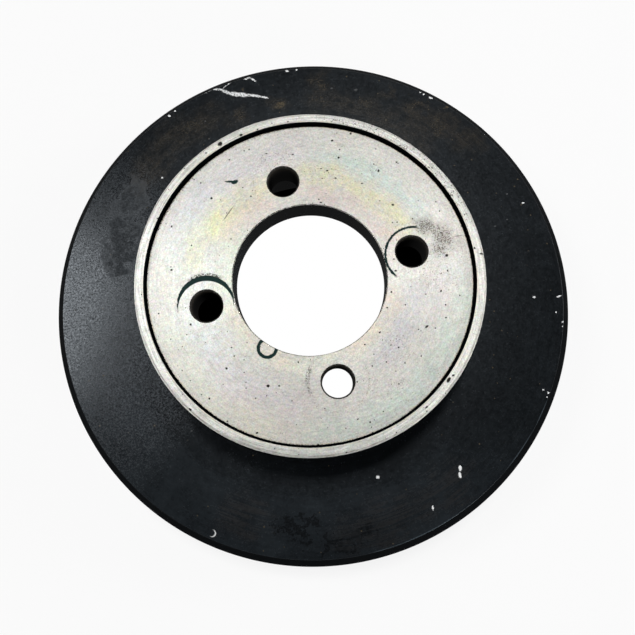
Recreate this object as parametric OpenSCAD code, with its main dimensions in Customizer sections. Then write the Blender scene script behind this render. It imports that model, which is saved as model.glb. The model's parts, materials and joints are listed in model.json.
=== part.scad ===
// Crankshaft pulley, turned from one casting.
// A raised bolting boss stands on a flat flange, the rim behind the flange carries
// a V-ribbed belt track, and the back is a stepped hollow that clears the crank nose.
// The pulley stands on the back edge of its rim, bolting face up. The first bolt hole is on +X.

/* [Rim and flange] */
// Largest diameter, over the lips of the belt track
rim_d = 236; // [228:0.5:250]
// Height of the flange's front face above the back edge of the rim
rim_w = 39; // [38.5:0.5:46]
// Chamfer on the flange's front edge, measured along either leg
rim_chamfer = 3.5; // [1:0.1:4]
// Thickness of the flange plate
flange_t = 12; // [8:0.5:16]
// Thickness of the rim under the belt grooves
rim_wall = 7; // [4:0.5:10]

/* [Belt track] */
// Number of V grooves
belt_grooves = 8; // [4:1:8]
// Distance from groove to groove
groove_pitch = 3.56; // [3:0.02:3.56]
// Depth of a groove from the rib tips
groove_depth = 2.9; // [2:0.1:3]
// Included angle of a groove
groove_angle = 40; // [36:1:42]
// Width of the flat on each rib tip
rib_tip_w = 0.6; // [0.4:0.1:0.8]
// Height of the two lips above the rib tips
lip_h = 3.2; // [1.5:0.1:4]
// Width of the plain land between a lip and the first groove
track_land = 0.7; // [0.4:0.1:0.8]
// Width of the back lip
back_lip_w = 3; // [2:0.1:3.5]

/* [Bolting boss] */
// Diameter of the raised boss
boss_d = 140; // [130:0.5:160]
// Height of the boss above the flange's front face
boss_h = 38.5; // [30:0.5:50]
// Chamfer on the boss's front edge
boss_chamfer = 1; // [0.5:0.1:1.6]
// Radius of the fillet where the boss meets the flange
boss_fillet = 3; // [1:0.1:5]
// Width of the raised rim around the bolting face
face_rim_w = 3.9; // [3:0.1:5]
// Depth of the bolting face below that rim
face_step = 2.4; // [1:0.1:3.5]
// Width of the relief groove at the foot of the step
relief_w = 0.8; // [0.5:0.1:1.5]
// Depth of the relief groove below the bolting face
relief_depth = 1.6; // [0.8:0.1:2.5]

/* [Web and hollow] */
// Thickness of the web that bolts to the crank
web_t = 15; // [10:0.5:20]
// Diameter of the hollow behind the web
hollow_d = 114; // [108:0.5:118]
// Draft of the walls at the back, in degrees from the axis
hollow_draft = 1.5; // [0:0.5:2.5]
// Corner radius of the hollows
hollow_fillet = 4; // [2:0.5:5]
// Chamfer on the edges that face backwards
back_chamfer = 0.8; // [0.2:0.1:1.2]

/* [Bore and bolt holes] */
// Diameter of the centre bore
bore_d = 62; // [50:0.5:64]
// Chamfer at the front of the bore
bore_chamfer = 0.4; // [0.2:0.1:1]
// Chamfer at the back of the bore
bore_back_chamfer = 1.5; // [0.5:0.1:2]
// Number of bolt holes
bolt_count = 4; // [3:1:6]
// Diameter of the bolt circle
bolt_circle_d = 85; // [80:0.5:88]
// Diameter of each bolt hole
bolt_hole_d = 12.5; // [8:0.1:13.5]
// Countersink at both ends of each bolt hole
bolt_chamfer = 0.6; // [0.2:0.1:0.8]

/* [Hidden] */
$fn = 180;

// A cut runs this far past the surface that it opens
over = 1;

rim_r = rim_d / 2;
boss_r = boss_d / 2;
bore_r = bore_d / 2;
hollow_r = hollow_d / 2;

// Levels along the axis, from the back edge of the rim upwards
flange_z = rim_w;
flange_back_z = flange_z - flange_t;
boss_z = flange_z + boss_h;
face_z = boss_z - face_step;
web_back_z = face_z - web_t;

// Radii across the face and the belt track
recess_r = boss_r - face_rim_w;
tip_r = rim_r - lip_h;
root_r = tip_r - groove_depth;
bowl_r = root_r - rim_wall;

// The belt track starts at the back lip and ends in the front lip's flank
half_angle = groove_angle / 2;
mouth_w = groove_pitch - rib_tip_w;
root_w = mouth_w - 2 * groove_depth * tan(half_angle);
track_w = belt_grooves * groove_pitch + 2 * track_land;

// One V groove, opening outwards, its middle at height 0
module belt_groove() {
    polygon([
        [root_r, -root_w / 2],
        [tip_r, -mouth_w / 2],
        [rim_r, -mouth_w / 2],
        [rim_r, mouth_w / 2],
        [tip_r, mouth_w / 2],
        [root_r, root_w / 2]
    ]);
}

// Section of everything cut from the outside of the rim: the sunk track and its grooves.
// The lips' flanks lean outwards at the grooves' own angle.
module track_section() {
    lean = (lip_h + over) * tan(half_angle);
    translate([0, back_lip_w]) {
        polygon([
            [tip_r, 0],
            [rim_r + over, -lean],
            [rim_r + over, track_w + lean],
            [tip_r, track_w]
        ]);
        for (i = [0 : belt_grooves - 1])
            translate([0, track_land + (i + 0.5) * groove_pitch]) belt_groove();
    }
}

// Square corner of side r with a round bite out of it, which fills an inner corner at the origin
module corner_fillet(r) {
    difference() {
        square(r);
        translate([r, r]) circle(r);
    }
}

// Outer section: the rim with its front chamfer and the boss with its own
module outer_section() {
    polygon([
        [0, 0],
        [rim_r - back_chamfer, 0],
        [rim_r, back_chamfer],
        [rim_r, flange_z - rim_chamfer],
        [rim_r - rim_chamfer, flange_z],
        [boss_r, flange_z],
        [boss_r, boss_z - boss_chamfer],
        [boss_r - boss_chamfer, boss_z],
        [0, boss_z]
    ]);
    translate([boss_r, flange_z]) corner_fillet(boss_fillet);
}

// Half section of a round pocket, open downwards at mouth_z. Its wall leans out by the draft,
// the corner's arc is tangent to the wall and the ceiling, and the mouth has a chamfer.
module pocket(ceiling_r, ceiling_z, mouth_z) {
    lean = tan(hollow_draft);
    mouth_r = ceiling_r + (ceiling_z - mouth_z) * lean;
    arc_r = ceiling_r - hollow_fillet * (1 - sin(hollow_draft)) / cos(hollow_draft);
    arc_z = ceiling_z - hollow_fillet;
    polygon([
        [0, mouth_z - over],
        [mouth_r + back_chamfer + over, mouth_z - over],
        [mouth_r - back_chamfer * lean, mouth_z + back_chamfer],
        [arc_r + hollow_fillet * cos(hollow_draft), arc_z + hollow_fillet * sin(hollow_draft)],
        [arc_r, ceiling_z],
        [0, ceiling_z]
    ]);
    translate([arc_r, arc_z]) circle(hollow_fillet);
}

// Sunk bolting face, with the relief groove at the foot of its step
module face_section() {
    translate([0, face_z]) square([recess_r, face_step + over]);
    translate([recess_r - relief_w, face_z - relief_depth]) square([relief_w, relief_depth + over]);
}

// Bore with a chamfer at each end
module bore_section() {
    front_r = bore_r + bore_chamfer + over;
    back_r = bore_r + bore_back_chamfer + over;
    polygon([
        [0, web_back_z - over],
        [back_r, web_back_z - over],
        [bore_r, web_back_z + bore_back_chamfer],
        [bore_r, face_z - bore_chamfer],
        [front_r, face_z + over],
        [0, face_z + over]
    ]);
}

// Bolt hole through the web on the first radius, countersunk at both ends
module bolt_hole() {
    hole_r = bolt_hole_d / 2;
    wide_r = hole_r + bolt_chamfer + over;
    cone_h = bolt_chamfer + over;
    translate([bolt_circle_d / 2, 0, 0]) {
        translate([0, 0, web_back_z - over]) cylinder(h = web_t + 2 * over, r = hole_r);
        translate([0, 0, face_z - bolt_chamfer]) cylinder(h = cone_h, r1 = hole_r, r2 = wide_r);
        translate([0, 0, web_back_z - over]) cylinder(h = cone_h, r1 = wide_r, r2 = hole_r);
    }
}

module pulley() {
    color("#2b2d30")
    difference() {
        rotate_extrude()
        difference() {
            outer_section();
            track_section();
            pocket(bowl_r - flange_back_z * tan(hollow_draft), flange_back_z, 0);
            pocket(hollow_r, web_back_z, flange_back_z);
            face_section();
            bore_section();
        }
        for (i = [0 : bolt_count - 1])
            rotate(i * 360 / bolt_count) bolt_hole();
    }
}

pulley();
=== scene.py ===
import json
import math

import bmesh
import bpy
import numpy as np
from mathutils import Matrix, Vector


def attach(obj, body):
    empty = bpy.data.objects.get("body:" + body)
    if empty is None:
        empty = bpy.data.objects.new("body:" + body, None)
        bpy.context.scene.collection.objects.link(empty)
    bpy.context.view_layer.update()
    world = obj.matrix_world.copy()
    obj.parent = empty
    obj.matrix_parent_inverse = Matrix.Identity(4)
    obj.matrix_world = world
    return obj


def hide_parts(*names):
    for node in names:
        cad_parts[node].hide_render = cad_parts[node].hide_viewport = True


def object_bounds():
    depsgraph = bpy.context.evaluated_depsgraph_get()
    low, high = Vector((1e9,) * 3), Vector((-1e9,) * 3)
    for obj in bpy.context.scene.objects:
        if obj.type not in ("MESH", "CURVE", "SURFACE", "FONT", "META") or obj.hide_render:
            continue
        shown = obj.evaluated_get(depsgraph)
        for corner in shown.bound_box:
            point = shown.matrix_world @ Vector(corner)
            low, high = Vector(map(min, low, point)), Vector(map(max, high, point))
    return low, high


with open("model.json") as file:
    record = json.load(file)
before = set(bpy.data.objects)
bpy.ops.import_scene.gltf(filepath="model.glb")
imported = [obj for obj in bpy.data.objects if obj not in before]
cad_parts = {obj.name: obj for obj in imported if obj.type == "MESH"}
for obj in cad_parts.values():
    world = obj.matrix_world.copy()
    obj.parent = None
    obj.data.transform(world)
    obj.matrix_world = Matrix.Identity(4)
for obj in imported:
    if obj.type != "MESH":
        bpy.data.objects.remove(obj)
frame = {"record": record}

# Crankshaft pulley on a white floor, bolting face up. Sizes are in millimetres and
# angles in degrees from +X, where the first bolt hole is, unless a note says otherwise.

mm = 0.001
markHigh = 3.0  # a mark counts this far above and below its own height
cadLow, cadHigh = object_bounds()
mounts = {m["name"]: m for m in frame["record"]["mounts"]}

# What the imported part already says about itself
rimRadius = cadHigh.x / mm
topHeight = cadHigh.z / mm
boreRadius = mounts["crank_pilot_bore"]["dims"]["r_mm"]
boltCircle = mounts["crank_bolts"]["dims"]["pcd_mm"] / 2
boltHole = mounts["crank_bolts"]["dims"]["hole_r_mm"]
boltCount = mounts["crank_bolts"]["dims"]["count"]
seatHeight = mounts["crank_seat"]["pos_m"][2] / mm
faceHeight = mounts["bolt_head_face"]["pos_m"][2] / mm


def onCircle(angle):
    return math.cos(math.radians(angle)), math.sin(math.radians(angle))


def addObject(name, data):
    item = bpy.data.objects.new(name, data)
    bpy.context.scene.collection.objects.link(item)
    return item


# Small helpers for the material nodes

def newMaterial(name):
    # A material without a shader, its node tree, and what placeNodes gives
    material = bpy.data.materials.new(name)
    material.use_nodes = True
    tree = material.node_tree
    tree.nodes.clear()
    return material, tree, *placeNodes(tree)


def addNode(tree, kind, *inputs, **settings):
    # Adds a node, sets its settings and feeds its inputs in order
    node = tree.nodes.new("ShaderNode" + kind)
    for key, value in settings.items():
        setattr(node, key, value)
    for socket, value in zip(node.inputs, inputs):
        feed(tree, socket, value)
    return node


def feed(tree, socket, value):
    # Another node's socket is linked and a value is set, a colour with its alpha
    if isinstance(value, bpy.types.NodeSocket):
        tree.links.new(value, socket)
    elif socket.type == "RGBA":
        socket.default_value = (*value, 1)
    else:
        socket.default_value = value


def calc(tree, operation, *inputs, clamp=False):
    return addNode(tree, "Math", *inputs, operation=operation, use_clamp=clamp).outputs[0]


def step(tree, value, start, end, low=0.0, high=1.0):
    # Goes smoothly from low to high while value goes from start to end
    node = addNode(tree, "MapRange", value, start, end, low, high, interpolation_type="SMOOTHSTEP")
    return node.outputs[0]


def blend(tree, factor, first, second, mode="MIX", clamp=True):
    node = tree.nodes.new("ShaderNodeMix")
    node.data_type = "RGBA"
    node.blend_type = mode
    node.clamp_factor = clamp
    feed(tree, node.inputs[0], factor)
    feed(tree, node.inputs[6], first)
    feed(tree, node.inputs[7], second)
    return node.outputs[2]


def dimmed(tree, tone, level):
    # A colour times a level, which may pass 1
    return blend(tree, level, (0, 0, 0), tone, clamp=False)


def over(tree, tone, mask, colour, share):
    # Lays a colour over the tone where the mask is 1, at a share of its full strength
    return blend(tree, product(tree, mask, share), tone, colour)


def summed(tree, start, *terms, clamp=False):
    # start plus each signal times its amount, kept within 0 and 1 with clamp
    for signal, amount in terms:
        start = calc(tree, "MULTIPLY_ADD", signal, amount, start)
    start.node.use_clamp = clamp
    return start


def vector(tree, operation, *inputs):
    node = addNode(tree, "VectorMath", *inputs, operation=operation)
    return node.outputs["Value" if operation in ("LENGTH", "DISTANCE") else "Vector"]


def noise(tree, position, scale, detail, roughness, output="Fac"):
    node = addNode(tree, "TexNoise", noise_dimensions="3D")
    feed(tree, node.inputs["Vector"], position)
    node.inputs["Scale"].default_value = scale
    node.inputs["Detail"].default_value = detail
    node.inputs["Roughness"].default_value = roughness
    return node.outputs[output]


def shade(tree, **sockets):
    # Puts a Principled shader on the material's output, with its sockets by name
    shader = tree.nodes.new("ShaderNodeBsdfPrincipled")
    output = tree.nodes.new("ShaderNodeOutputMaterial")
    tree.links.new(shader.outputs[0], output.inputs["Surface"])
    for key, value in sockets.items():
        feed(tree, shader.inputs[key.replace("_", " ")], value)


# The pulley's shape

pulleyBody = {
    "rimChamfer": 3.5,
    "flangeHeight": 39.0,
    "flangeThick": 12.0,
    "bossRadius": 70.0,
    "bossChamfer": 1.0,
    "bossFillet": 3.0,
    "faceRim": 3.9,  # width of the raised rim round the bolting face
    "reliefWide": 0.8,
    "reliefDeep": 1.6,
    "lipHeight": 3.2,
    "backLip": 3.0,
    "grooves": 8,
    "groovePitch": 3.56,
    "grooveDeep": 2.9,
    "ribTip": 0.6,
    "grooveAngle": 40.0,
    "trackLand": 0.7,
    "rimWall": 7.0,
    "hollowRadius": 57.0,
    "hollowDraft": 1.5,
    "hollowFillet": 4.0,
    "backChamfer": 0.8,
    "boreChamfer": 0.4,
    "boreBackChamfer": 1.5,
    "boltChamfer": 0.6,
    "softEdge": 0.22,  # radius left on turned edges
    "softRib": 0.12,  # and on the ribs and the bolt holes' edges
    "guard": 0.5,  # a flat gets an extra ring this far from each rounding
    "holeGuard": 0.3,
    "edgeSteps": 4,  # points on a rounding of an edge, a bolt hole and a rib
    "holeSteps": 3,
    "ribSteps": 2,
    "segments": 360,
    "patchInner": 34.0,  # the web's patches that hold the bolt holes
    "patchOuter": 51.5,
    "patchHalf": 23,  # segments from a bolt hole's middle to its patch's side
    "patchSteps": 8,
    "patchRings": (0.0, 0.03, 0.14, 0.38, 0.68, 1.0),  # from the hole's edge to the patch's outline
    "sameSpot": 0.002,  # points nearer than this are one
}


def sectionCorners(p):
    # The section's corners with their rounding: from the bolt holes round the outside to the track,
    # the track, on to the back of the web, and from the web's back through the bore to the face.
    soft = p["softEdge"]
    boss, flange, rimCut = p["bossRadius"], p["flangeHeight"], p["rimChamfer"]
    rib = p["softRib"]
    lean = math.tan(math.radians(p["hollowDraft"]))
    flank = math.tan(math.radians(p["grooveAngle"] / 2))
    flangeBack = flange - p["flangeThick"]
    tipRadius = rimRadius - p["lipHeight"]
    rootRadius = tipRadius - p["grooveDeep"]
    bowlRadius = rootRadius - p["rimWall"]
    recess = boss - p["faceRim"]
    grooveStart = recess - p["reliefWide"]
    grooveFloor = faceHeight - p["reliefDeep"]
    mouthHalf = (p["groovePitch"] - p["ribTip"]) / 2
    rootHalf = mouthHalf - p["grooveDeep"] * flank
    trackWide = p["grooves"] * p["groovePitch"] + 2 * p["trackLand"]
    trackTop = p["backLip"] + trackWide
    hollowMouth = p["hollowRadius"] + (seatHeight - flangeBack) * lean
    chamfer = p["backChamfer"]

    front = [
        (p["patchOuter"], faceHeight, 0),
        (grooveStart, faceHeight, soft / 2),
        (grooveStart, grooveFloor, soft / 2),
        (recess, grooveFloor, soft / 2),
        (recess, topHeight, soft),
        (boss - p["bossChamfer"], topHeight, soft),
        (boss, topHeight - p["bossChamfer"], soft),
        (boss, flange, p["bossFillet"]),
        (rimRadius - rimCut, flange, soft),
        (rimRadius, flange - rimCut, soft),
        (rimRadius, trackTop + p["lipHeight"] * flank, soft),
        (tipRadius, trackTop, soft),
    ]
    track = []
    for n in reversed(range(p["grooves"])):
        middle = p["backLip"] + p["trackLand"] + (n + 0.5) * p["groovePitch"]
        track += [
            (tipRadius, middle + mouthHalf, rib),
            (rootRadius, middle + rootHalf, rib),
            (rootRadius, middle - rootHalf, rib),
            (tipRadius, middle - mouthHalf, rib),
        ]
    back = [
        (tipRadius, p["backLip"], soft),
        (rimRadius, p["backLip"] - p["lipHeight"] * flank, soft),
        (rimRadius, chamfer, soft),
        (rimRadius - chamfer, 0, soft),
        (bowlRadius + chamfer, 0, soft),
        (bowlRadius, chamfer, soft),
        (bowlRadius - flangeBack * lean, flangeBack, p["hollowFillet"]),
        (hollowMouth + chamfer, flangeBack, soft),
        (hollowMouth, flangeBack + chamfer, soft),
        (p["hollowRadius"], seatHeight, p["hollowFillet"]),
        (p["patchOuter"], seatHeight, 0),
    ]
    bore = [
        (p["patchInner"], seatHeight, 0),
        (boreRadius + p["boreBackChamfer"], seatHeight, soft),
        (boreRadius, seatHeight + p["boreBackChamfer"], soft),
        (boreRadius, faceHeight - p["boreChamfer"], soft / 2),
        (boreRadius + p["boreChamfer"], faceHeight, soft / 2),
        (p["patchInner"], faceHeight, 0),
    ]
    return [np.array(corners) for corners in (front, track, back, bore)]


def roundedProfile(corners, arcSteps, guard):
    # Each corner becomes an arc that touches both of its sides: the arc's middle is the corner
    # plus the sides' half-way direction times radius / sin(half angle), and its ends lie
    # radius / tan(half angle) along the sides. A guard point beyond each end keeps flats flat.
    places, radii = corners[1:-1, :2], corners[1:-1, 2]
    before = corners[:-2, :2] - places
    after = corners[2:, :2] - places
    lengthBefore = np.linalg.norm(before, axis=1)
    lengthAfter = np.linalg.norm(after, axis=1)
    before /= lengthBefore[:, None]
    after /= lengthAfter[:, None]
    half = np.arccos(np.clip((before * after).sum(1), -1, 1)) / 2
    reach = radii / np.tan(half)
    middleWay = before + after
    middleWay /= np.linalg.norm(middleWay, axis=1)[:, None]
    centre = places + middleWay * (radii / np.sin(half))[:, None]
    start = places + before * reach[:, None]
    sweep = (math.pi - 2 * half) * np.sign(before[:, 0] * after[:, 1] - before[:, 1] * after[:, 0])
    turn = -np.linspace(0, 1, arcSteps)[None, :] * sweep[:, None]
    spoke = start - centre
    arc = np.stack([
        centre[:, :1] + spoke[:, :1] * np.cos(turn) - spoke[:, 1:] * np.sin(turn),
        centre[:, 1:] + spoke[:, :1] * np.sin(turn) + spoke[:, 1:] * np.cos(turn),
    ], axis=2)
    if guard:
        early = places + before * np.minimum(reach + guard, (reach + lengthBefore) / 2)[:, None]
        late = places + after * np.minimum(reach + guard, (reach + lengthAfter) / 2)[:, None]
        arc = np.concatenate([early[:, None], arc, late[:, None]], axis=1)
    return arc.reshape(-1, 2)


def turnedGrid(profile, angles):
    # A profile carried round the axis: (r, z) at angle a lies at (r cos a, r sin a, z).
    radius, height = profile[:, 0][:, None], profile[:, 1][:, None]
    ring = np.radians(angles)[None, :]
    return np.stack(np.broadcast_arrays(radius * np.cos(ring), radius * np.sin(ring), height), axis=2)


def gridFaces(rows, columns, closed, first=0):
    # Quads of a grid of rows by columns. With closed, the last column joins the first.
    wide = columns if closed else columns - 1
    row, column = np.meshgrid(np.arange(rows - 1), np.arange(wide), indexing="ij")
    right = (column + 1) % columns
    a = row * columns + column
    b = row * columns + right
    c = (row + 1) * columns + right
    d = (row + 1) * columns + column
    return np.stack([a, b, c, d], axis=2).reshape(-1, 4) + first


def patchEdge(p, spin):
    # The closed outline of one bolt hole's patch, as angles and radii: out along the outer arc,
    # in along one side, back along the inner arc and out along the other side.
    segment = 360 / p["segments"]
    wide = np.arange(-p["patchHalf"], p["patchHalf"]) * segment
    deep = np.linspace(p["patchOuter"], p["patchInner"], p["patchSteps"] + 1)[:-1]
    side = p["patchHalf"] * segment
    angles = np.concatenate([wide, np.full(deep.size, side), -wide, np.full(deep.size, -side)])
    radii = np.concatenate([
        np.full(wide.size, p["patchOuter"]), deep,
        np.full(wide.size, p["patchInner"]), (p["patchInner"] + p["patchOuter"]) - deep,
    ])
    angles = np.radians(angles + spin)
    return np.stack([radii * np.cos(angles), radii * np.sin(angles)], axis=1)


def buildPulley(p):
    front, track, back, bore = sectionCorners(p)
    outside = np.concatenate([
        front[:1, :2],
        roundedProfile(np.concatenate([front, track[:1]]), p["edgeSteps"], p["guard"]),
        roundedProfile(np.concatenate([front[-1:], track, back[:1]]), p["ribSteps"], 0),
        roundedProfile(np.concatenate([track[-1:], back]), p["edgeSteps"], p["guard"]),
        back[-1:, :2],
    ])
    inside = np.concatenate([bore[:1, :2], roundedProfile(bore, p["edgeSteps"], p["guard"]), bore[-1:, :2]])
    segment = 360 / p["segments"]
    every = np.arange(p["segments"]) * segment
    grids = [(turnedGrid(outside, every), True), (turnedGrid(inside, every), True)]

    # Plain stretches of the web between the bolt holes' patches, front and back
    across = np.linspace(p["patchOuter"], p["patchInner"], p["patchSteps"] + 1)
    between = np.arange(p["patchHalf"], p["segments"] // boltCount - p["patchHalf"] + 1) * segment
    # The patches: straight lines from a ring round the hole to the patch's outline
    rise = np.array(p["patchRings"])[:, None, None]
    wideHole = boltHole + p["boltChamfer"]
    beyond = wideHole + 1  # the wall's end corners only give its roundings their direction
    wall = np.array([
        (beyond, faceHeight, 0),
        (wideHole, faceHeight, p["softRib"]),
        (boltHole, faceHeight - p["boltChamfer"], p["softRib"]),
        (boltHole, seatHeight + p["boltChamfer"], p["softRib"]),
        (wideHole, seatHeight, p["softRib"]),
        (beyond, seatHeight, 0),
    ])
    wallProfile = roundedProfile(wall, p["holeSteps"], p["holeGuard"])
    for n in range(boltCount):
        spin = n * 360 / boltCount
        hole = boltCircle * np.array(onCircle(spin))
        edge = patchEdge(p, spin)
        away = edge - hole
        away /= np.linalg.norm(away, axis=1)[:, None]
        for height in (faceHeight, seatHeight):
            plain = np.stack([across, np.full(across.size, height)], axis=1)
            grids.append((turnedGrid(plain, between + spin), False))
            ring = hole + away * wallProfile[0, 0]
            flat = ring[None] * (1 - rise) + edge[None] * rise
            grids.append((np.dstack([flat, np.full(flat.shape[:2], height)]), True))
        tube = hole[None, None] + away[None] * wallProfile[:, :1, None]
        heights = np.repeat(wallProfile[:, 1:], away.shape[0], axis=1)
        grids.append((np.dstack([tube, heights]), True))

    points, faces, count = [], [], 0
    for grid, closed in grids:
        rows, columns = grid.shape[:2]
        points.append(grid.reshape(-1, 3))
        faces.append(gridFaces(rows, columns, closed, count))
        count += rows * columns
    points = np.concatenate(points) * mm
    faces = np.concatenate(faces)

    mesh = bpy.data.meshes.new("pulleyBody")
    mesh.vertices.add(len(points))
    mesh.vertices.foreach_set("co", points.ravel())
    mesh.loops.add(faces.size)
    mesh.loops.foreach_set("vertex_index", faces.ravel())
    mesh.polygons.add(len(faces))
    mesh.polygons.foreach_set("loop_start", np.arange(0, faces.size, 4))
    mesh.update(calc_edges=True)

    # The grids share their edges' places, so their doubles are merged into one closed skin
    skin = bmesh.new()
    skin.from_mesh(mesh)
    bmesh.ops.remove_doubles(skin, verts=skin.verts, dist=p["sameSpot"] * mm)
    bmesh.ops.recalc_face_normals(skin, faces=skin.faces)
    skin.to_mesh(mesh)
    openEdges = sum(1 for edge in skin.edges if len(edge.link_faces) != 2)
    skin.free()
    mesh.shade_smooth()
    print("pulley skin:", len(mesh.polygons), "faces,", openEdges, "open edges")

    return addObject("pulleyBody", mesh)


def zoneFaces(piece, p):
    # Each face's finish, by its middle: 0 the flange's paint, 1 bare turned metal, 2 a bolt hole's wall,
    # 3 the flange's chamfer and the relief groove in painted shade, 4 the rim's outside. The hair is play at
    # a border.
    hair = 0.02
    mesh = piece.data
    centres = np.empty(len(mesh.polygons) * 3)
    mesh.polygons.foreach_get("center", centres)
    x, y, z = centres.reshape(-1, 3).T / mm
    radius = np.hypot(x, y)
    spins = np.radians(np.arange(boltCount) * 360 / boltCount)[:, None]
    toHole = np.hypot(x - boltCircle * np.cos(spins), y - boltCircle * np.sin(spins)).min(axis=0)
    recess = p["bossRadius"] - p["faceRim"]
    grooveStart = recess - p["reliefWide"]
    flangeEdge = rimRadius - p["rimChamfer"]

    onFace = (radius > boreRadius + hair) & (radius < grooveStart + hair)
    onFace &= z > faceHeight - p["boreChamfer"] + 0.05
    onBossRim = (radius > recess + hair) & (z > topHeight - p["bossChamfer"] - 2 * hair)
    inGroove = (radius > grooveStart - 0.05) & (radius < recess + 0.05)
    inGroove &= z > faceHeight - p["reliefDeep"] - 0.1
    inHole = (toHole < boltHole + p["boltChamfer"] - hair) & (z < faceHeight - hair) & (z > seatHeight)
    onChamfer = (radius > flangeEdge + 0.1) & (z > p["flangeHeight"] - p["rimChamfer"] - 0.2)
    outside = (radius > flangeEdge - 8) & (z < p["flangeHeight"] - 0.5) & (z > 0.5)
    zones = np.select([inHole, onFace | onBossRim, onChamfer | inGroove, outside], [2, 1, 3, 4], 0)
    mesh.polygons.foreach_set("material_index", zones.astype(np.int32))
    mesh.update()


# Finishes. Marks are placed by what the photograph shows: (x, y, length, width, direction).

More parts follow.
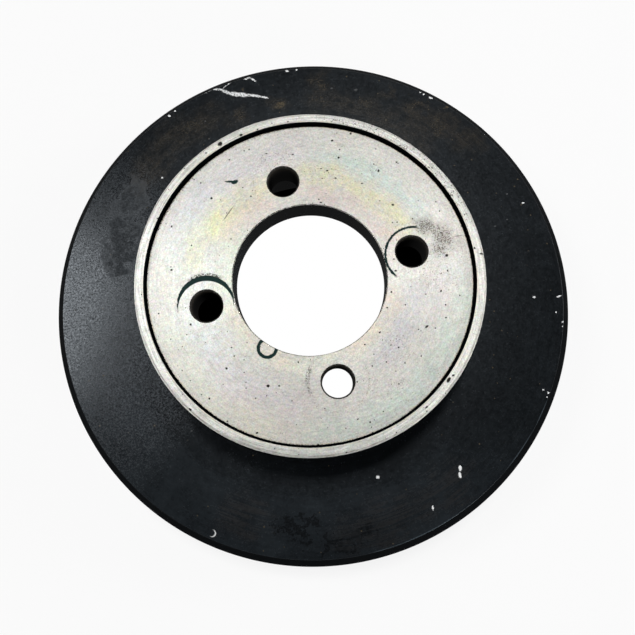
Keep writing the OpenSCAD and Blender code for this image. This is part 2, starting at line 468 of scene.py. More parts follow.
flangePaint = {
    "deep": (0.0038, 0.0049, 0.0059),
    "slate": (0.0072, 0.0091, 0.0108),
    "brown": (0.0145, 0.0112, 0.0068),
    "dustTone": (0.080, 0.062, 0.036),
    "chipTone": (0.84, 0.85, 0.85),
    "rustTone": (0.10, 0.075, 0.040),
    "rubTone": (0.050, 0.066, 0.078),
    "sandTone": (0.076, 0.083, 0.092),
    "dullTone": (0.0062, 0.0049, 0.0041),
    "blackTone": (0.0008, 0.0011, 0.0014),
    "tipTone": (0.060, 0.058, 0.055),
    "leastRough": 0.091,  # before the noises and marks add to it
    "specular": 0.37,
    "sheenTone": (0.86, 0.93, 1.0),
    # sides by angle, half width and fade: sandy with painted glints on the left, painted light on the lower
    # left, and where the sheen is smoothest
    "sandySide": (170, 26, 22),
    "dustySide": (244, 40, 28),
    "smoothSide": (176, 40, 18),
    "edgeRubs": [(281, 9, 5), (312, 4, 6)],
    # the long scratch, its side branch and the short scratch beside it
    "scratches": [
        (-17.5, 112.3, 5.0, 0.9, -18), (-13.5, 109.6, 5.6, 1.5, -36), (-10.0, 107.6, 5.6, 2.1, -24),
        (-6.5, 106.3, 5.6, 2.2, -25), (-2.5, 104.9, 5.6, 1.4, -20), (0.7, 103.5, 5.0, 1.2, -26),
        (3.4, 102.1, 4.4, 0.9, -28), (-12.8, 113.1, 5.4, 0.3, 25), (-2.3, 114.0, 3.2, 0.8, 4),
        (0.4, 112.8, 3.8, 0.9, -50), (-24.5, 112.1, 7.0, 0.3, 9),
    ],
    "chipSize": 0.85,  # the chips' drawn size against their listed one
    "curvedChip": [(-68.5, -88.7, 1.4), (-68.1, -89.0, 1.5)],  # what the first disc leaves of the second
    "chips": [
        (17.6, 112.6, 2.0, 1.2, -35), (22.2, 112.0, 1.2, 0.9, 0), (-40.1, 106.8, 0.9, 0.7, 0),
        (-43.5, 105.0, 1.9, 1.1, -35), (-53.8, 74.9, 1.2, 0.9, 60), (77.3, 84.2, 1.1, 0.9, 0),
        (78.6, 82.8, 1.4, 0.9, 20), (81.4, 80.0, 2.1, 1.3, -35), (100.8, 55.2, 1.1, 0.9, 0),
        (107.3, 17.4, 1.4, 0.9, -20), (97.8, -26.8, 1.4, 1.0, -10), (108.9, -29.4, 2.7, 0.7, 2),
        (105.2, -36.0, 0.8, 0.6, 0), (106.7, -41.2, 1.1, 0.8, 40), (106.0, -43.0, 0.7, 0.6, 0),
        (88.3, -67.8, 0.9, 0.8, 0), (90.0, -69.6, 1.3, 1.0, -30), (88.8, -71.2, 0.7, 0.5, 0),
        (42.6, -90.6, 2.8, 1.5, 72), (41.6, -93.3, 2.8, 1.4, 84), (7.0, -84.9, 1.8, 1.6, 0),
        (26.3, -103.4, 2.4, 0.8, 78), (-1.5, -115.2, 2.0, 0.5, 6),
    ],
    "faint": [
        (-27.2, 97.6, 0.8, 0.6, 0), (-27.5, 88.2, 0.8, 0.7, 0), (101.5, 23.6, 0.9, 0.7, 0),
        (97.6, 11.6, 0.8, 0.6, 0), (91.2, 10.0, 1.0, 0.6, 0), (77.3, -86.2, 0.8, 0.6, 0),
        (-59.8, -99.5, 0.8, 0.6, 0), (36.3, 97.9, 1.0, 0.8, 0), (47.5, 93.9, 1.4, 1.2, 0),
        (-67.0, -44.4, 0.9, 0.8, 0),
    ],
    "rust": [
        (-5.6, 109.1, 1.4, 1.0, 60), (9.8, 96.1, 5.0, 3.0, 10), (87.3, 73.2, 3.0, 1.1, 10),
        (-82.4, -37.9, 1.0, 0.9, 0),
    ],
    # brown film on the upper flange, and its thick speckled parts
    "stains": [
        (32.0, 103.0, 17, 9, 75), (29.5, 93.0, 14, 15, 75), (42.0, 87.0, 22, 12, -30),
        (51.0, 84.0, 13, 12, 0), (62.5, 88.5, 12, 5, 38), (72.0, 74.0, 20, 13, -38),
        (82.0, 66.0, 20, 14, -40), (91.0, 55.0, 18, 12, -52), (9.0, 97.0, 9, 6, -10),
        (-11.0, 95.0, 12, 11, 0), (-29.0, 97.0, 22, 14, 20), (-46.0, 92.0, 26, 16, 30),
        (-60.0, 80.0, 22, 14, 45), (55.0, 76.0, 22, 12, -40), (68.0, 64.0, 22, 12, -45),
    ],
    "speckled": [
        (69.5, 77.0, 13, 7, 30), (76.0, 80.0, 8, 6, 40), (32.5, 103.0, 12, 6, 75), (30.0, 94.0, 10, 9, 0),
        (49.0, 85.0, 14, 8, -30), (78.0, 66.0, 14, 8, -40), (-11.0, 95.5, 8, 7, 0),
        (-36.0, 96.0, 12, 7, 20),
    ],
    # an old wet patch, duller than the sandy sheen about it
    "matt": [
        (-71.5, 66.0, 22, 13, 60), (-77.5, 53.0, 24, 14, 70), (-80.5, 42.0, 22, 15, 76),
        (-72.5, 46.0, 22, 12, 66),
    ],
    # brown-black and black patches low on the flange
    "dull": [
        (5.0, -104.0, 44, 22, 6), (34.0, -97.0, 26, 20, 22), (-52.0, -86.0, 26, 16, -38),
    ],
    "black": [
        (-32.0, -96.0, 22, 15, -18), (-17.0, -108.0, 26, 12, -10), (-8.0, -106.0, 16, 12, 0),
    ],
}

turnedMetal = {
    "tone": (0.552, 0.541, 0.508),
    "rimTone": (0.574, 0.572, 0.542),
    "speckTone": (0.014, 0.012, 0.010),
    "greenTone": (0.0030, 0.020, 0.018),
    "smudgeTone": (0.085, 0.070, 0.052),
    "beigeTone": (0.52, 0.44, 0.31),
    "washerTone": (0.16, 0.12, 0.08),
    "wornTone": (0.17, 0.125, 0.10),
    "scratchTone": (0.07, 0.06, 0.05),
    "leastRough": 0.52,
    "anisotropy": 0.7,
    "washerRadius": 12.0,
    # sides by angle, half width and fade
    "crowdedSide": (38, 24, 22),
    "dirtySide": (112, 18, 26),
    "lineSide": (38, 100, 12),
    # the marker: a crescent's two discs are x, y and radius, a ring is x, y, radius, width and softness
    "thickPrint": [(-42.90, -0.77, 11.1), (-42.6, 1.2, 11.4)],
    "thinPrint": (43.1, -1.6, 11.6, 0.95, 0.15),
    "thinPart": [(37.3, 3.2, 27, 15, 52)],
    "smallRing": (-23.3, -22.7, 3.55, 1.35, 0.15),
    "smear": [(-20.9, 48.3, 4.6, 0.9, -14), (-19.2, 47.6, 2.8, 1.7, 6)],
    "spotRing": (-42.6, 1.2, 11.7, 1.2, 0.4),
    "spotPart": [(-40.4, 11.5, 13, 6, -12)],
    "rustyRing": (11.9, 1.6, 0.4),  # about the lower hole: radius, width and softness
    "rustyPart": [(-10.2, -38.5, 5, 13, 0)],
    "scratches": [(-24.8, 35.3, 7.4, 0.42, 41), (62.4, 1.2, 3.6, 0.3, -6)],
    # old oil film, with painted light and shade among it: what each does to the colour, radius and half
    # width of the arc, angle, half width and fade
    "films": [
        ((1.03, 1.02, 0.81), 43.5, 4.0, 45, 28, 16), ((1.03, 1.02, 0.85), 43.0, 4.0, 118, 16, 14),
        ((1.03, 1.02, 0.86), 47.0, 4.0, 142, 10, 14), ((1.01, 0.92, 0.90), 36.5, 3.0, 45, 28, 16),
        ((1.03, 0.95, 0.93), 37.5, 4.0, 120, 14, 12), ((0.90, 1.00, 1.00), 51.5, 3.4, 44, 20, 18),
        ((1.04, 0.97, 0.91), 33.5, 3.0, 312, 20, 14), ((0.94, 0.94, 1.01), 41.0, 4.5, 318, 16, 14),
        ((0.92, 1.01, 0.98), 60.0, 4.5, 300, 34, 22), ((0.95, 0.95, 1.00), 56.0, 5.0, 104, 22, 20),
        ((1.01, 1.00, 0.95), 59.0, 6.0, 205, 34, 24), ((1.07, 1.11, 1.14), 50.0, 14.0, 172, 30, 30),
        ((1.03, 0.97, 0.94), 33.5, 3.5, 214, 22, 14), ((0.98, 0.96, 1.01), 51.0, 5.0, 226, 20, 18),
        ((0.92, 0.92, 0.92), 52.0, 13.0, 296, 34, 34), ((0.80, 0.81, 0.81), 68.5, 2.6, 266, 18, 22),
        ((1.00, 1.05, 0.98), 34.0, 4.5, 168, 30, 22), ((1.11, 1.12, 1.07), 34.0, 4.5, 268, 34, 22),
        ((1.06, 1.06, 1.08), 57.0, 7.0, 358, 14, 14), ((0.91, 0.90, 0.88), 68.5, 2.6, 112, 12, 16),
        ((1.09, 1.08, 1.08), 68.5, 2.6, 176, 12, 18), ((1.13, 1.13, 1.11), 68.5, 2.6, 304, 10, 12),
    ],
    "specks": [
        (39.4, -30.9, 1.5, 0.7, 20), (42.5, -32.4, 0.7, 0.6, 0), (36.0, -31.2, 0.6, 0.5, 0),
        (26.4, -35.9, 0.8, 0.6, 0), (23.7, -34.2, 0.6, 0.5, 0), (33.9, -41.5, 0.6, 0.6, 0),
        (21.0, -28.3, 1.0, 0.7, 30), (47.7, -29.5, 0.7, 0.6, 0), (22.5, -49.6, 0.6, 0.5, 0),
        (26.5, -19.5, 0.8, 0.6, 0), (29.9, -13.9, 0.8, 0.7, 0), (49.0, -18.7, 0.9, 0.6, 30),
        (-40.7, -26.2, 0.9, 0.9, 0), (-26.7, -37.1, 1.2, 1.1, 0), (-22.5, -38.2, 0.7, 0.7, 0),
        (-49.8, -35.8, 0.8, 0.7, 0), (-45.1, -46.1, 0.8, 0.6, 0), (-35.2, -53.4, 0.9, 0.7, 0),
        (-36.8, -18.7, 0.6, 0.5, 0), (-42.6, -49.8, 1.3, 0.6, -40), (-50.3, -5.6, 0.8, 0.7, 0),
        (-30.1, 43.3, 1.1, 0.9, 40), (-48.6, 35.9, 0.9, 0.7, 40), (-52.7, 18.1, 0.8, 0.7, 0),
        (-42.6, 25.9, 0.7, 0.6, 0), (-35.2, 53.2, 0.6, 0.5, 0), (-3.5, 56.2, 0.8, 0.6, 0),
        (-2.1, 31.1, 0.7, 0.6, 0), (-14.3, 39.8, 0.7, 0.6, 0), (7.0, 52.9, 0.7, 0.6, 0),
        (24.3, 54.5, 1.1, 0.8, 0), (26.2, 49.8, 0.7, 0.6, 0), (24.9, 46.5, 0.9, 0.8, 0),
        (18.8, 42.2, 0.9, 0.7, 0), (16.6, 43.8, 0.8, 0.5, 20), (21.3, 38.2, 0.9, 0.6, -30),
        (39.2, 36.6, 1.3, 0.8, 60), (31.1, 33.1, 1.0, 0.5, -20), (40.7, 20.9, 1.2, 0.8, -40),
        (47.4, 38.2, 0.9, 0.7, 0), (38.5, 13.6, 0.7, 0.6, 0), (55.5, -5.3, 1.3, 1.1, 60),
        (54.0, -11.4, 0.7, 0.6, 0), (34.7, -1.2, 0.8, 0.6, 0), (34.0, -6.0, 1.0, 0.8, 0),
        (12.6, 29.6, 0.9, 0.7, 0), (32.5, 55.4, 0.9, 0.9, 0), (3.5, -58.4, 0.8, 0.6, 0),
        (7.7, -60.7, 0.7, 0.6, 0), (-13.7, -63.7, 0.9, 0.7, 0),
    ],
    # places with many fine dots
    "dotted": [
        (51, -12, 20, 24, 0), (20, 42, 26, 10, -15), (25, 52, 22, 8, -20), (38, 38, 14, 10, 0),
        (26, -36, 20, 16, -40), (22, -52, 14, 10, 0), (-4, 52, 22, 10, 0), (3, 47, 10, 20, 0),
    ],
    "smudge": [(51.0, 8.5, 12, 7.5, -35), (56.5, 2.5, 9, 13, 20), (53.5, -1.5, 8, 8, 0)],
    "rimPits": [
        (-21.0, 64.3, 2.1, 1.7, 15), (-11.7, 65.9, 1.4, 1.1, 0), (68.5, -8.9, 1.8, 0.7, -14),
        (29.8, -60.9, 1.6, 0.6, 30), (-57.5, -38.2, 1.3, 0.9, -55), (-4.1, -69.2, 0.8, 0.5, 0),
        (66.4, -5.9, 0.9, 0.8, 0), (8.5, 66.3, 0.7, 0.6, 0), (-4.5, 66.4, 0.8, 0.7, 0),
        (-27.5, 62.0, 0.9, 0.7, 0), (2.0, 67.5, 0.6, 0.5, 0), (41.0, -53.2, 2.4, 1.2, 40),
        (43.2, -52.0, 1.2, 0.8, 0),
    ],
}

holeWall = {
    "ringDark": (0.008, 0.007, 0.006),
    "ringLight": (0.085, 0.072, 0.054),
    "deepTone": (0.0035, 0.0035, 0.004),
    "bareTone": (0.50, 0.49, 0.46),
}

shadedPaint = {
    "deep": (0.0003, 0.0008, 0.0013),
    "grey": (0.0020, 0.0027, 0.0034),
}


def placeNodes(tree):
    # Object position in millimetres, its three parts, its distance from the axis, and the way out from it
    place = scaled(tree, tree.nodes.new("ShaderNodeTexCoord").outputs["Object"], 1 / mm)
    parts = addNode(tree, "SeparateXYZ", place).outputs
    flat = addNode(tree, "CombineXYZ", parts[0], parts[1]).outputs[0]
    return place, parts, vector(tree, "LENGTH", flat), vector(tree, "NORMALIZE", flat)


def scaled(tree, place, factor):
    node = addNode(tree, "VectorMath", place, operation="SCALE")
    feed(tree, node.inputs["Scale"], factor)
    return node.outputs[0]


def turnedNoise(tree, outward, radius, around, across, detail, roughness):
    # Noise that follows the turning: its position is the way out from the axis times around,
    # raised by the distance from the axis times across
    rise = addNode(tree, "CombineXYZ", 0.0, 0.0, product(tree, radius, across)).outputs[0]
    return noise(tree, vector(tree, "ADD", scaled(tree, outward, around), rise), 1.0, detail, roughness)


def warped(tree, place, scale, reach):
    # The position pushed about by noise, up to half of reach each way, for ragged outlines
    wild = noise(tree, place, scale, 3, 0.5, "Color")
    push = scaled(tree, vector(tree, "SUBTRACT", wild, (0.5, 0.5, 0.5)), reach)
    return vector(tree, "ADD", place, push)


def tinted(tree, tone, place, scale, strength):
    # A colour pushed about by coloured noise, which is made up for its middle being 0.5
    wild = noise(tree, place, scale, 3, 0.5, "Color")
    return blend(tree, strength, dimmed(tree, tone, 1 / (1 - strength / 2)), wild, "MULTIPLY")


def ovals(tree, place, height, marks, edge):
    # 1 inside any of the ovals and 0 outside: each oval's distance is the position in its own
    # axes over its half length, half width and half height, and the least of them decides
    nearest = None
    for x, y, long, wide, turn in marks:
        squeeze = (2 / long, 2 / wide, 1 / markHigh)
        shift = (-x * squeeze[0], -y * squeeze[1], -height * squeeze[2])
        turned = place
        if turn:
            spun = addNode(tree, "VectorRotate", place, (x, y, height), rotation_type="Z_AXIS")
            spun.inputs["Angle"].default_value = -math.radians(turn)
            turned = spun.outputs[0]
        away = vector(tree, "LENGTH", vector(tree, "MULTIPLY_ADD", turned, squeeze, shift))
        nearest = away if nearest is None else calc(tree, "MINIMUM", nearest, away)
    return step(tree, nearest, 1 + edge, 1 - edge)


def towards(tree, parts, radius, angle, wide, soft):
    # 1 within wide degrees of an angle about the axis, fading over soft degrees:
    # the cosine of the angle between is (x cos a + y sin a) / radius
    x, y = onCircle(angle)
    along = summed(tree, product(tree, parts[0], x), (parts[1], y))
    cosine = calc(tree, "DIVIDE", along, radius)
    return step(tree, cosine, onCircle(wide + soft)[0], onCircle(wide)[0])


def speckle(tree, place, scale, size, share, seed=0.0):
    # Dots in a share of the cells of a cell pattern: inside the dot's size of the cell's point
    shifted = vector(tree, "ADD", place, (seed, seed, 0))
    cells = addNode(tree, "TexVoronoi", feature="F1")
    feed(tree, cells.inputs["Vector"], shifted)
    cells.inputs["Scale"].default_value = scale
    pick = addNode(tree, "SeparateColor", cells.outputs["Color"])
    reach = product(tree, pick.outputs[1], size)
    dot = calc(tree, "LESS_THAN", cells.outputs["Distance"], reach)
    chosen = calc(tree, "LESS_THAN", pick.outputs[0], share)
    return product(tree, dot, chosen)


def dense(tree, mask, wild, bar, reach, soft=0.04):
    # Dots and flecks that crowd where the mask is high: noise has to beat a bar,
    # which the mask lowers by reach
    lowered = summed(tree, bar, (mask, -reach))
    return step(tree, calc(tree, "SUBTRACT", wild, lowered), 0.0, soft)


def ringMask(tree, place, x, y, radius, thick, soft):
    # 1 on a ring of one thickness round (x, y) on the face
    away = vector(tree, "DISTANCE", place, (x, y, faceHeight))
    return band(tree, away, radius, thick / 2, soft)


def band(tree, value, middle, half, soft):
    # 1 within half of a middle value, with a soft edge on both sides
    off = calc(tree, "ABSOLUTE", calc(tree, "SUBTRACT", value, middle))
    return step(tree, off, half + soft, half - soft)


def crescent(tree, height, places, discs, edge):
    # 1 outside the first disc and inside the second; a disc is x, y and radius, met at its own position
    masks = []
    for place, (x, y, reach), sign in zip(places, discs, (1, -1)):
        away = vector(tree, "DISTANCE", place, (x, y, height))
        masks.append(step(tree, away, reach - edge * sign, reach + edge * sign))
    return product(tree, *masks)


def ringNoise(tree, height, scale, detail):
    # Noise of the height alone, as turning leaves it on a hole's wall
    rings = addNode(tree, "TexNoise", noise_dimensions="1D")
    feed(tree, rings.inputs["W"], height)
    rings.inputs["Scale"].default_value = scale
    rings.inputs["Detail"].default_value = detail
    return rings.outputs["Fac"]


def most(tree, *masks):
    top = masks[0]
    for mask in masks[1:]:
        top = calc(tree, "MAXIMUM", top, mask)
    return top


def product(tree, *masks):
    whole = masks[0]
    for mask in masks[1:]:
        whole = calc(tree, "MULTIPLY", whole, mask)
    return whole


def bump(tree, height, deep):
    # Height is in units of deep, in millimetres
    node = tree.nodes.new("ShaderNodeBump")
    node.inputs["Distance"].default_value = deep * mm
    feed(tree, node.inputs["Height"], height)
    return node.outputs[0]


def makePaint(p, top):
    material, tree, place, parts, radius, outward = newMaterial("blackPaint")
    grain = noise(tree, place, 1.35, 2, 0.75)
    coarse = noise(tree, place, 0.5, 3, 0.7)
    cloud = noise(tree, place, 0.05, 4, 0.62)
    arcs = turnedNoise(tree, outward, radius, 5, 0.9, 3, 0.7)
    fleck = noise(tree, place, 1.7, 3, 0.8)
    relief = noise(tree, place, 1.1, 1, 0.6)
    tone = blend(tree, step(tree, cloud, 0.3, 0.75), p["deep"], p["slate"])
    level = summed(tree, -0.9, (grain, 1.1), (coarse, 1.2), (arcs, 1.5))
    # painted light: the paint is made lighter on the lower left, away from the boss
    paintedLightLowLeft = product(tree, towards(tree, parts, radius, *p["dustySide"]), step(tree, radius, 84, 92))
    level = summed(tree, level, (paintedLightLowLeft, 0.80))
    tone = dimmed(tree, tone, calc(tree, "MAXIMUM", level, 0.15))

    # Patches low on the flange: brown-black with streaks, and black mottling
    loose = warped(tree, place, 0.14, 16)
    dull = product(tree, ovals(tree, loose, top, p["dull"], 0.5), step(tree, arcs, 0.40, 0.60))
    tone = over(tree, tone, dull, p["dullTone"], 0.75)
    black = dense(tree, ovals(tree, loose, top, p["black"], 0.5), coarse, 0.66, 0.21, 0.06)
    tone = over(tree, tone, black, p["blackTone"], 0.85)

    # Brown film, thinned by noise, and its flecks
    film = ovals(tree, loose, top, p["stains"], 0.6)
    thin = product(tree, film, step(tree, coarse, 0.22, 0.60))
    brown = dimmed(tree, p["brown"], summed(tree, -1.0, (arcs, 4.0)))
    tone = over(tree, tone, thin, brown, 0.85)
    crowd = ovals(tree, loose, top, p["speckled"], 0.6)
    flecks = dense(tree, summed(tree, crowd, (film, 0.5)), fleck, 0.72, 0.115)
    tone = over(tree, tone, flecks, p["dustTone"], 0.65)
    dust = speckle(tree, place, 0.33, 0.13, 0.35, 7.0)
    tone = over(tree, tone, dust, p["dustTone"], 0.8)

    # Chips down to the bare metal
    ragged = warped(tree, place, 1.9, 1.5)
    broken = step(tree, fleck, 0.41, 0.47)
    scratch = product(tree, ovals(tree, ragged, top, p["scratches"], 0.2), broken)
    size = p["chipSize"]
    chips = [(x, y, size * long, size * wide, turn) for x, y, long, wide, turn in p["chips"]]
    chip = ovals(tree, warped(tree, place, 2.3, 1.3), top, chips, 0.15)
    faint = product(tree, ovals(tree, place, top, p["faint"], 0.4), 0.07)
    curved = crescent(tree, top, (place, place), p["curvedChip"], 0.15)
    bare = most(tree, scratch, chip, faint, product(tree, curved, 0.7))
    tone = blend(tree, bare, tone, p["chipTone"])
    rust = product(tree, ovals(tree, ragged, top, p["rust"], 0.5), step(tree, fleck, 0.42, 0.56))
    tone = over(tree, tone, rust, p["rustTone"], 0.9)

    # A light line along parts of the front edge: paint rubbed thin, and a painted highlight of the rounded
    # edge
    line = band(tree, radius, rimRadius - pulleyBody["rimChamfer"] - 0.1, 0.2, 0.15)
    where = most(tree, *[towards(tree, parts, radius, *rub) for rub in p["edgeRubs"]])
    broken = step(tree, arcs, 0.36, 0.56)
    onTop = calc(tree, "GREATER_THAN", parts[2], top - 1)
    tone = over(tree, tone, product(tree, line, where, broken, onTop), p["rubTone"], 0.9)

    # The left side is sandy, with matt grains and painted glints of the sheen, round a duller patch
    matt = ovals(tree, loose, top, p["matt"], 0.35)
    sandyAndGlinting = product(tree, towards(tree, parts, radius, *p["sandySide"]), summed(tree, 1.0, (matt, -0.5)))
    # light grains where the sheen falls: partly sandy paint, partly painted glints
    sandAndGlints = product(tree, sandyAndGlinting, step(tree, grain, 0.49, 0.60), step(tree, radius, 112, 96, 0.4, 1.0))
    tone = over(tree, tone, sandAndGlints, p["sandTone"], 0.45)
    pores = product(tree, sandyAndGlinting, step(tree, fleck, 0.54, 0.60))
    smooth = towards(tree, parts, radius, *p["smoothSide"])
    rough = summed(tree, p["leastRough"], (relief, 0.14), (smooth, -0.014), (coarse, 0.15))
    rough = summed(tree, rough, (product(tree, sandyAndGlinting, calc(tree, "SUBTRACT", relief, 0.5)), 0.40))
    rough = summed(tree, rough, (product(tree, matt, step(tree, coarse, 0.36, 0.52, 0.45, 1.0)), 0.42))
    rough = summed(tree, rough, (film, 0.02), (pores, 0.40), (dull, 0.10), clamp=True)
    shade(tree, Base_Color=tone, Roughness=rough, Specular_IOR_Level=p["specular"],
          Specular_Tint=p["sheenTone"], Normal=bump(tree, relief, 0.017))
    return material


def makeTurnedFace(m):
    material, tree, place, parts, radius, outward = newMaterial("turnedFace")
    spins = [onCircle(n * 360 / boltCount) for n in range(boltCount)]
    holes = [(boltCircle * x, boltCircle * y) for x, y in spins]
    recess = pulleyBody["bossRadius"] - pulleyBody["faceRim"]
    grooveStart = recess - pulleyBody["reliefWide"]
    onRim = step(tree, radius, recess - 0.05, recess + 0.05)

    grain = noise(tree, place, 1.6, 2, 0.75)
    coarse = noise(tree, place, 0.7, 3, 0.7)
    mottle = noise(tree, place, 0.15, 4, 0.62)
    streak = turnedNoise(tree, outward, radius, 14, 1.5, 3, 0.75)
    rimLine = turnedNoise(tree, outward, radius, 4, 1.7, 2, 0.7)
    fleck = noise(tree, place, 1.8, 3, 0.8)
    level = summed(tree, -0.21, (grain, 1.1), (coarse, 0.45), (streak, 0.65), (mottle, 0.22))
    level = summed(tree, level, (product(tree, onRim, calc(tree, "SUBTRACT", rimLine, 0.5)), 1.3))
    tone = blend(tree, onRim, m["tone"], m["rimTone"])
    tone = tinted(tree, tinted(tree, tone, place, 0.9, 0.28), place, 0.07, 0.07)

    # Faint colours of an old oil film, and painted light and shade, in arcs about the axis that noise bends
    # up to 7 mm each way
    bend = noise(tree, place, 0.08, 3, 0.6)
    wander = summed(tree, calc(tree, "SUBTRACT", radius, 7.0), (bend, 14.0))
    patchy = step(tree, noise(tree, place, 0.30, 4, 0.7), 0.30, 0.58)
    for colour, middle, half, angle, wide, soft in m["films"]:
        arc = band(tree, wander, middle, half, half * 0.7)
        film = product(tree, arc, towards(tree, parts, radius, angle, wide, soft), patchy)
        tone = blend(tree, film, tone, colour, "MULTIPLY")

    # Where the washers sat: cleaner inside, with a broken brown outline
    clean = outline = None
    for x, y in holes:
        away = vector(tree, "DISTANCE", place, (x, y, faceHeight))
        inside = step(tree, away, m["washerRadius"] + 0.2, m["washerRadius"] - 0.6)
        edge = ringMask(tree, place, x, y, m["washerRadius"], 0.9, 0.3)
        clean = inside if clean is None else calc(tree, "MAXIMUM", clean, inside)
        outline = edge if outline is None else calc(tree, "MAXIMUM", outline, edge)
    tone = dimmed(tree, tone, summed(tree, level, (clean, 0.025)))
    outline = product(tree, outline, step(tree, fleck, 0.54, 0.60))
    tone = over(tree, tone, outline, m["washerTone"], 0.50)

    # Thin beige lines beside the relief groove, and a darker outer edge on the rim
    inner = band(tree, radius, grooveStart - 0.35, 0.18, 0.12)
    outer = band(tree, radius, recess + 0.35, 0.15, 0.1)
    beige = product(tree, most(tree, inner, outer), step(tree, streak, 0.42, 0.58))
    tone = over(tree, tone, beige, m["beigeTone"], 0.7)
    worn = band(tree, radius, pulleyBody["bossRadius"] - 0.7, 0.3, 0.2)
    tone = over(tree, tone, product(tree, worn, step(tree, streak, 0.46, 0.60)), m["wornTone"], 0.6)

    # Dots: few all over, crowded on the rim's upper right, in some places and towards the groove
    loose = warped(tree, place, 0.12, 14)
    clumped = step(tree, coarse, 0.40, 0.58, 0.45, 1.0)
    upper = product(tree, towards(tree, parts, radius, *m["crowdedSide"]), onRim, clumped)
    crowd = most(tree, ovals(tree, loose, faceHeight, m["dotted"], 0.6), product(tree, upper, 1.8),
                 product(tree, step(tree, radius, 58, 65), 0.7))
    dots = dense(tree, crowd, fleck, 0.70, 0.097)
    sparse = speckle(tree, place, 0.45, 0.15, 0.55)
    # brown smudge by one hole, made of fine dots
    smudge = ovals(tree, warped(tree, place, 0.3, 5), faceHeight, m["smudge"], 0.7)
    tone = over(tree, tone, smudge, m["smudgeTone"], 0.26)
    soot = product(tree, dense(tree, smudge, fleck, 0.70, 0.215, 0.05), step(tree, smudge, 0.0, 0.3))
    tone = over(tree, tone, soot, m["smudgeTone"], 0.85)
    # the rusty part of the lower hole's washer outline
    rusty = ringMask(tree, place, *holes[3], *m["rustyRing"])
    rustyPart = ovals(tree, place, faceHeight, m["rustyPart"], 0.3)
    rusty = product(tree, rusty, rustyPart, step(tree, fleck, 0.48, 0.56))

    # Dirt that creeps from the relief groove
    inward = calc(tree, "SUBTRACT", grooveStart, radius)
    dirtyPart = towards(tree, parts, radius, *m["dirtySide"])
    near = step(tree, inward, step(tree, dirtyPart, 0, 1, 0.7, 2.2), 0.0)
    creep = product(tree, dense(tree, near, fleck, 0.74, 0.26), calc(tree, "GREATER_THAN", inward, -0.3))
    # and a black line beside it, from the right round over the top, which frays a little
    frayed = summed(tree, calc(tree, "ADD", inward, -1.22), (fleck, 2.0))
    lined = towards(tree, parts, radius, *m["lineSide"])
    frayed = product(tree, step(tree, frayed, 0.06, -0.06), lined, calc(tree, "GREATER_THAN", inward, -0.3))
    creep = most(tree, creep, frayed)

    ragged = warped(tree, place, 1.6, 0.6)
    specks = ovals(tree, ragged, faceHeight, m["specks"], 0.25)
    pits = ovals(tree, ragged, topHeight, m["rimPits"], 0.25)
    dark = most(tree, sparse, dots, specks, pits, product(tree, rusty, 0.8), creep)
    tone = blend(tree, dark, tone, m["speckTone"])

    # Dark green marker: a thick and a thin washer print, a small ring and a smear
    tall = warped(tree, place, 1.3, 0.9)
    leftMark = crescent(tree, faceHeight, (place, tall), m["thickPrint"], 0.12)
    rightMark = product(tree, ringMask(tree, tall, *m["thinPrint"]),
                        ovals(tree, place, faceHeight, m["thinPart"], 0.10))
    smallMark = ringMask(tree, warped(tree, place, 0.8, 0.5), *m["smallRing"])
    smear = ovals(tree, tall, faceHeight, m["smear"], 0.2)
    spots = product(tree, ringMask(tree, place, *m["spotRing"]), step(tree, fleck, 0.47, 0.52),
                    ovals(tree, place, faceHeight, m["spotPart"], 0.3))
    green = most(tree, leftMark, rightMark, smallMark, smear)
    tone = blend(tree, green, tone, m["greenTone"])
    tone = blend(tree, spots, tone, m["speckTone"])
    line = ovals(tree, place, faceHeight, m["scratches"], 0.4)
    tone = over(tree, tone, line, m["scratchTone"], 0.75)

    covered = most(tree, dark, green, spots, product(tree, soot, 0.8), product(tree, line, 0.6))
    metal = summed(tree, 1.0, (covered, -1.0), clamp=True)
    rough = summed(tree, m["leastRough"], (grain, 0.25))
    shade(tree, Base_Color=tone, Metallic=metal, Roughness=rough, Specular_IOR_Level=0.12,
          Anisotropic=m["anisotropy"], Tangent=outward, Normal=bump(tree, grain, 0.012))
    return material


def makeHoleWall(h):
    # A few bright flecks on the darker countersink, then brown turning rings, darkened with depth by painted
    # shade
    material, tree, place, parts, radius, outward = newMaterial("boltHoleWall")
    rings = ringNoise(tree, parts[2], 1.7, 2)
    tone = blend(tree, step(tree, rings, 0.42, 0.62), h["ringDark"], h["ringLight"])
    # painted shade: the wall's tone goes dark with depth, and the countersink is kept darker too
    fade = step(tree, parts[2], faceHeight - 5.5, faceHeight - 0.8)
    fade = product(tree, fade, step(tree, parts[2], faceHeight - 0.45, faceHeight - 0.75, 0.3, 1.0))
    tone = blend(tree, fade, h["deepTone"], tone)
    wallTop = faceHeight - pulleyBody["boltChamfer"]
    mouth = step(tree, parts[2], wallTop - 0.15, wallTop + 0.15)
    mouth = product(tree, mouth, step(tree, noise(tree, place, 0.8, 3, 0.6), 0.58, 0.70, 0.0, 0.3))
    tone = blend(tree, mouth, tone, h["bareTone"])
    shade(tree, Base_Color=tone, Metallic=mouth, Roughness=0.5, Specular_IOR_Level=0.3,
          Normal=bump(tree, rings, 0.05))
    return material


def makeShadedPaint(d):
    # The paint in a near-black, dull copy: painted shade on the flange's chamfer and in the relief groove
    material, tree, place, parts, radius, outward = newMaterial("blackDirt")
    grain = noise(tree, place, 1.6, 3, 0.6)
    cloud = noise(tree, place, 0.09, 4, 0.65)
    tone = blend(tree, cloud, d["deep"], d["grey"])
    rough = summed(tree, 0.6, (grain, 0.15))
    shade(tree, Base_Color=tone, Roughness=rough, Specular_IOR_Level=0.02, Normal=bump(tree, grain, 0.03))
    return material


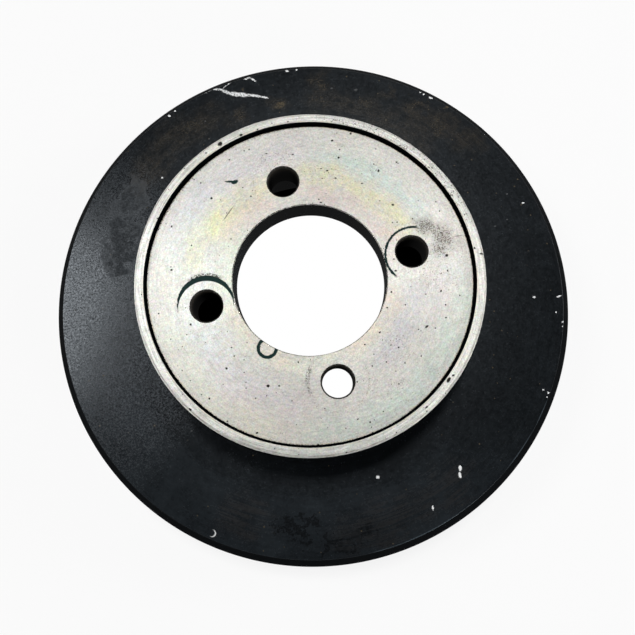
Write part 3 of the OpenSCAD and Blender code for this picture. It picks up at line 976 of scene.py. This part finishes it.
def makeRimPaint(p):
    # The outside of the rim: the flange's paint, rubbed by belts on the ribs' tips
    material, tree, place, parts, radius, outward = newMaterial("rimPaint")
    grain = noise(tree, place, 1.2, 3, 0.6)
    cloud = noise(tree, place, 0.09, 4, 0.65)
    arcs = turnedNoise(tree, outward, parts[2], 6, 1.5, 3, 0.7)
    tone = blend(tree, step(tree, cloud, 0.35, 0.65), p["deep"], p["slate"])
    tone = dimmed(tree, tone, summed(tree, -0.4, (arcs, 3.0)))
    tips = rimRadius - pulleyBody["lipHeight"]
    rubbed = product(tree, step(tree, radius, tips - 0.5, tips - 0.05),
                     calc(tree, "LESS_THAN", radius, tips + 0.1), step(tree, arcs, 0.40, 0.60, 0.25, 0.9))
    tone = blend(tree, rubbed, tone, p["tipTone"])
    rough = summed(tree, 0.28, (grain, 0.20))
    shade(tree, Base_Color=tone, Roughness=rough, Specular_IOR_Level=p["specular"],
          Normal=bump(tree, grain, 0.02))
    return material


# Floor, lamps and camera

studio = {
    "floorHalf": 2.4,  # metres
    "floorGap": 0.0001,  # between the floor and the rim's back edge
    "sweepRadius": 2.0,  # metres; from here the backdrop curves up all round
    "sweepCurve": 0.6,
    "backdropHeight": 1.8,
    "backdropSteps": 12,  # of its curve
    "backdropTurn": 3,  # degrees from one upright of it to the next
    "floorTone": (0.8, 0.8, 0.8),
    "floorGlow": 0.86,  # how much of the floor's white comes from its own glow
    # painted shade: the floor inside the rim is coloured dark; within it a painted pool of light glows in an
    # oval
    "hiddenTone": (0.01, 0.01, 0.01),
    "hiddenRadius": 105.0,  # the floor inside the rim, in the dark under the part
    "litOval": (2.0, 4.5, 88.0, 107.0, 0.0),  # where the camera sees the floor through the bore and one hole
    "boreGlow": 0.05,
    "aimHeight": 0.05,  # the lamps' middle
    "worldTone": (0.95, 0.98, 1.0),
    "worldLevel": 0.024,
}

# Place in degrees from the zenith and about the axis, distance and size in metres, power in watts
lamps = {
    "mainLamp": {"zenith": 14.5, "round": 76, "away": 1.25, "size": (0.16, 0.16), "power": 7.8},
    "keyLamp": {"zenith": 35.5, "round": 148, "away": 1.15, "size": (0.36, 0.36), "power": 3.9},
    "topLamp": {"zenith": 59, "round": 42, "away": 1.3, "size": (1.2, 1.2), "power": 1.4},
    "rightLamp": {"zenith": 63, "round": -3, "away": 1.2, "size": (0.35, 0.35), "power": 3.35},
    "fillLamp": {"zenith": 67, "round": -64, "away": 1.2, "size": (0.35, 0.35), "power": 3.0},
}


def makeFloor(s):
    half = s["floorHalf"]
    mesh = bpy.data.meshes.new("floor")
    corners = [(-half, -half, 0), (half, -half, 0), (half, half, 0), (-half, half, 0)]
    mesh.from_pydata(corners, [], [(0, 1, 2, 3)])
    floor = addObject("floor", mesh)
    floor.location.z = -s["floorGap"]
    material, tree, place, parts, radius, outward = newMaterial("floorWhite")
    # painted shade on the floor inside the rim, with a painted pool of light in it
    paintedShade = step(tree, radius, s["hiddenRadius"] + 1, s["hiddenRadius"] - 1)
    through = ovals(tree, place, 0, [s["litOval"]], 0.03)
    rays = tree.nodes.new("ShaderNodeLightPath")
    seen = calc(tree, "MAXIMUM", rays.outputs["Is Camera Ray"], rays.outputs["Is Glossy Ray"])
    seen = calc(tree, "MAXIMUM", seen, rays.outputs["Is Transmission Ray"])
    openFloor = product(tree, calc(tree, "SUBTRACT", 1.0, paintedShade), s["floorGlow"])
    # a painted pool of light: the oval glows for camera rays, and the bore's wall mirrors a little of it too
    # as a painted reflection
    below = summed(tree, rays.outputs["Is Camera Ray"], (rays.outputs["Is Glossy Ray"], s["boreGlow"]))
    below = product(tree, paintedShade, through, below)
    share = calc(tree, "ADD", product(tree, openFloor, seen), below)
    tone = blend(tree, paintedShade, s["floorTone"], s["hiddenTone"])
    matt = addNode(tree, "BsdfDiffuse", tone)
    glow = addNode(tree, "Emission", (1, 1, 1), 1.0)
    mixed = addNode(tree, "MixShader", share, matt.outputs[0], glow.outputs[0])
    output = tree.nodes.new("ShaderNodeOutputMaterial")
    tree.links.new(mixed.outputs[0], output.inputs["Surface"])
    mesh.materials.append(material)

    # The backdrop: a quarter arc up from the floor and a wall, carried round the axis
    bend = np.radians(np.linspace(0, 90, s["backdropSteps"] + 1))
    rim = s["sweepRadius"] + s["sweepCurve"] * np.sin(bend)
    rise = s["sweepCurve"] * (1 - np.cos(bend))
    section = np.stack([np.append(rim, rim[-1]), np.append(rise, s["backdropHeight"])], axis=1)
    grid = turnedGrid(section, np.arange(0, 360, s["backdropTurn"]))
    wall = bpy.data.meshes.new("backdrop")
    quads = gridFaces(*grid.shape[:2], True)
    wall.from_pydata(grid.reshape(-1, 3).tolist(), [], quads.tolist())
    wall.flip_normals()
    wall.shade_smooth()
    wall.materials.append(material)
    addObject("backdrop", wall)


def makeLamps(s, lamps):
    world = bpy.data.worlds.new("room")
    bpy.context.scene.world = world
    world.use_nodes = True
    sky = world.node_tree.nodes["Background"].inputs
    feed(world.node_tree, sky["Color"], s["worldTone"])
    feed(world.node_tree, sky["Strength"], s["worldLevel"])
    for name, spec in lamps.items():
        data = bpy.data.lights.new(name, "AREA")
        data.shape = "RECTANGLE"
        data.size, data.size_y = spec["size"]
        data.energy = spec["power"]
        lamp = addObject(name, data)
        upward, level = onCircle(spec["zenith"])
        x, y = onCircle(spec["round"])
        away = spec["away"]
        lamp.location = (away * level * x, away * level * y, away * upward + s["aimHeight"])
        # turned about Z and then tipped, so its width stays level and it faces the pulley
        lamp.rotation_euler = (math.radians(spec["zenith"]), 0, math.radians(spec["round"]) + math.pi / 2)


cameraView = {
    "place": (-0.00864, -0.05665, 0.31089),  # metres
    "turn": (9.889, 0.807, -15.139),  # degrees about X, Y and Z
    "lens": 34.33,
}


def makeCamera(c):
    data = bpy.data.cameras.new("photoCamera")
    data.lens = c["lens"]
    data.sensor_width = 36
    data.clip_start = 0.01
    camera = addObject("photoCamera", data)
    camera.location = c["place"]
    camera.rotation_euler = [math.radians(a) for a in c["turn"]]
    bpy.context.scene.camera = camera


print("camera and stage")
makeCamera(cameraView)
makeFloor(studio)
makeLamps(studio, lamps)

print("pulley")
pulley = buildPulley(pulleyBody)
pulley.data.materials.append(makePaint(flangePaint, pulleyBody["flangeHeight"]))
pulley.data.materials.append(makeTurnedFace(turnedMetal))
pulley.data.materials.append(makeHoleWall(holeWall))
pulley.data.materials.append(makeShadedPaint(shadedPaint))
pulley.data.materials.append(makeRimPaint(flangePaint))
zoneFaces(pulley, pulleyBody)
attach(pulley, "root")
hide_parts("pulley")

bpy.context.scene.view_settings.view_transform = "Standard"
